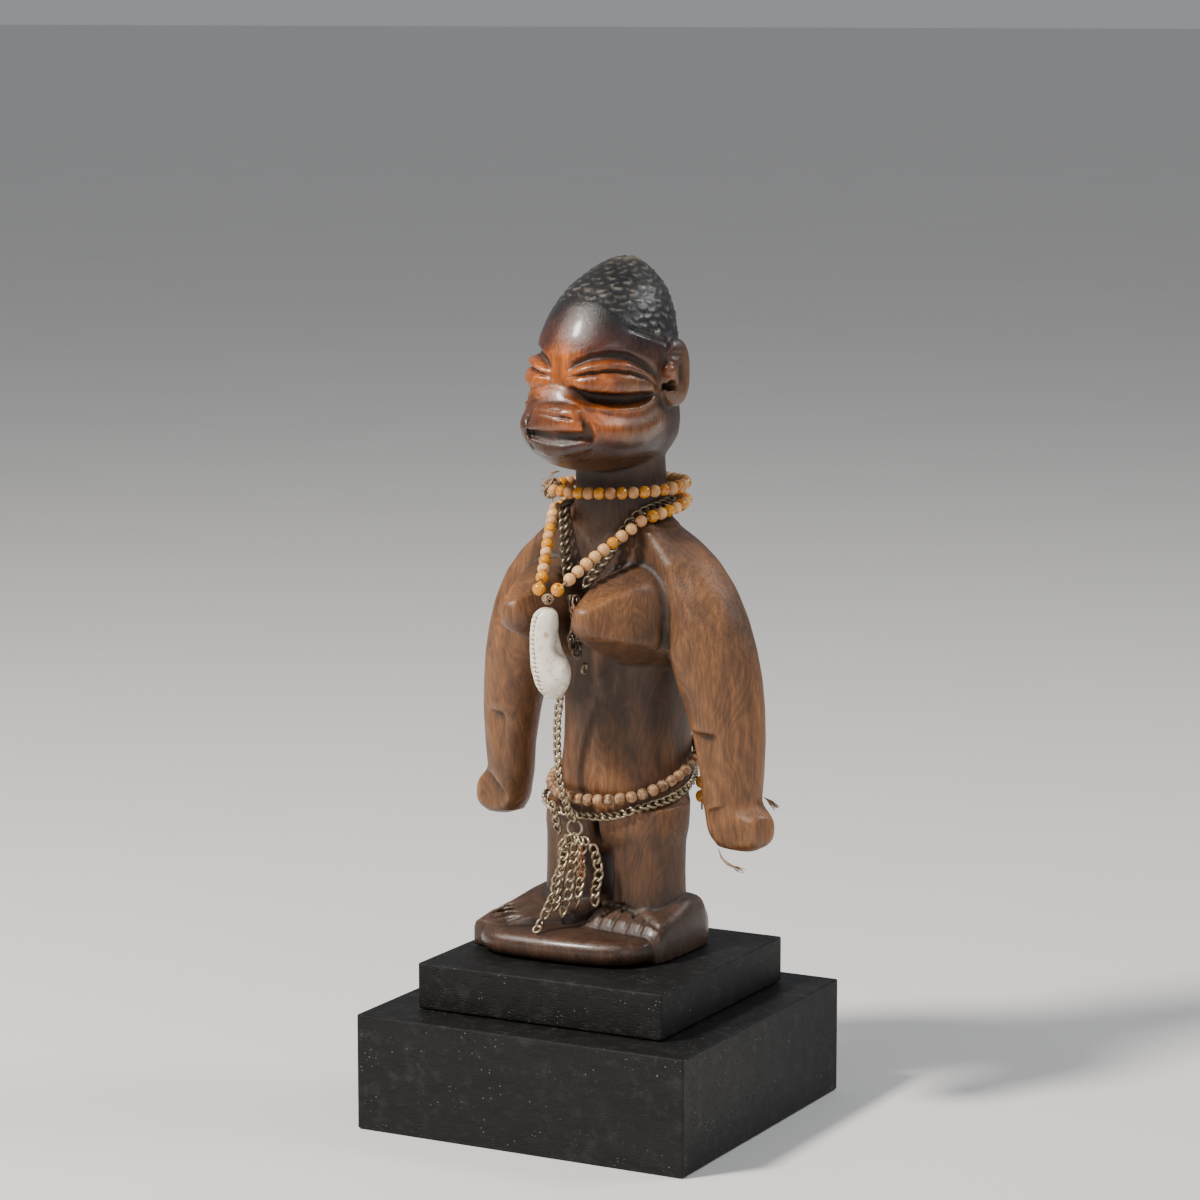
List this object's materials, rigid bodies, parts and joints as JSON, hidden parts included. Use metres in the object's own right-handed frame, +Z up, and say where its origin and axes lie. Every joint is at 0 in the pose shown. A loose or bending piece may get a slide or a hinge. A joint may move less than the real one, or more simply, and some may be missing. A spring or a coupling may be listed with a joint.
{
  "type": "carved figure",
  "caption": "Carved wooden fertility figure with bead strings, chains and a cowrie pendant, on a two-step dark wooden plinth.",
  "frame": {"origin": "centre of the plinth's underside", "axes": "+Z up, -Y out of the plinth's front face, +X towards the figure's left side; the figure is turned 10 degrees clockwise on the plinth, seen from above"},
  "size_m": [0.1009, 0.0974, 0.2372],
  "materials": {
    "plinth_wood": "black stain, open grain, satin",
    "pin_steel": "plain drawn rod",
    "carved_wood": "hand-carved, darkened and polished by handling",
    "clay_beads": "worn, soiled in the holes",
    "amber_glass": "translucent yellow-brown glass",
    "cowrie": "smooth shell with brown stains",
    "chain_metal": "tarnished",
    "copper_wire": "bare twisted wire",
    "cord_fibre": "coarse, frayed"
  },
  "bodies": {
    "figure_on_plinth": {"plinth_lower_block": "plinth_wood", "plinth_upper_block": "plinth_wood", "mount_pin_left": "pin_steel", "mount_pin_right": "pin_steel", "carved_figure": "carved_wood", "neck_chain": "chain_metal", "chest_chain_knot": "chain_metal", "knot_loop_link": "chain_metal", "choker_beads": "clay_beads", "choker_knot": "cord_fibre", "necklace_beads": "clay_beads", "amber_bead_left": "amber_glass", "amber_bead_right": "amber_glass", "waist_beads": "clay_beads", "waist_chain": "chain_metal", "belly_chain": "chain_metal", "chin_thread": "cord_fibre", "hand_thread_long": "cord_fibre", "hand_thread_short": "cord_fibre"},
    "pendant_knot": {"pendant_cord_knot": "cord_fibre"},
    "cowrie": {"cowrie_shell": "cowrie"},
    "hip_chain_end": {"hip_chain": "chain_metal"},
    "tassel": {"tassel_ring": "chain_metal"},
    "strand_1": {"tassel_strand_1": "chain_metal"},
    "strand_2": {"tassel_strand_2": "chain_metal"},
    "strand_3": {"tassel_strand_3": "chain_metal"},
    "strand_4": {"tassel_strand_4": "chain_metal", "copper_wire_twist": "copper_wire"},
    "strand_5": {"tassel_strand_5": "chain_metal"},
    "hip_tail": {"hip_thread": "cord_fibre", "hip_bead_upper": "amber_glass", "hip_bead_lower": "amber_glass"}
  },
  "joints": [
    {"name": "pendant_sway", "type": "hinge", "parent": "figure_on_plinth", "child": "pendant_knot", "pos_m": [-0.00591, -0.01945, 0.1482], "axis": [-0.1736, -0.9848, 0], "range_deg": [-10, 10]},
    {"name": "cowrie_nod", "type": "hinge", "parent": "pendant_knot", "child": "cowrie", "pos_m": [-0.0065, -0.01874, 0.144], "axis": [-0.9848, 0.1736, 0], "range_deg": [-6, 60]},
    {"name": "hip_chain_swing", "type": "hinge", "parent": "figure_on_plinth", "child": "hip_chain_end", "pos_m": [-0.01281, -0.00503, 0.0868], "axis": [-0.9848, 0.1736, 0], "range_deg": [0, 40]},
    {"name": "tassel_sway", "type": "hinge", "parent": "figure_on_plinth", "child": "tassel", "pos_m": [-0.00539, -0.00553, 0.0806], "axis": [-0.1736, -0.9848, 0], "range_deg": [-15, 15]},
    {"name": "strand_1_swing", "type": "hinge", "parent": "tassel", "child": "strand_1", "pos_m": [-0.00539, -0.00553, 0.0806], "axis": [-0.9848, 0.1736, 0], "range_deg": [0, 50]},
    {"name": "strand_2_swing", "type": "hinge", "parent": "tassel", "child": "strand_2", "pos_m": [-0.00539, -0.00553, 0.0806], "axis": [-0.9848, 0.1736, 0], "range_deg": [0, 50]},
    {"name": "strand_3_swing", "type": "hinge", "parent": "tassel", "child": "strand_3", "pos_m": [-0.00539, -0.00553, 0.0806], "axis": [-0.9848, 0.1736, 0], "range_deg": [0, 50]},
    {"name": "strand_4_swing", "type": "hinge", "parent": "tassel", "child": "strand_4", "pos_m": [-0.00539, -0.00553, 0.0806], "axis": [-0.9848, 0.1736, 0], "range_deg": [0, 50]},
    {"name": "strand_5_swing", "type": "hinge", "parent": "tassel", "child": "strand_5", "pos_m": [-0.00539, -0.00553, 0.0806], "axis": [-0.9848, 0.1736, 0], "range_deg": [0, 50]},
    {"name": "hip_tail_sway", "type": "hinge", "parent": "figure_on_plinth", "child": "hip_tail", "pos_m": [0.02119, 0.01964, 0.0952], "axis": [-0.1736, -0.9848, 0], "range_deg": [0, 30]}
  ]
}
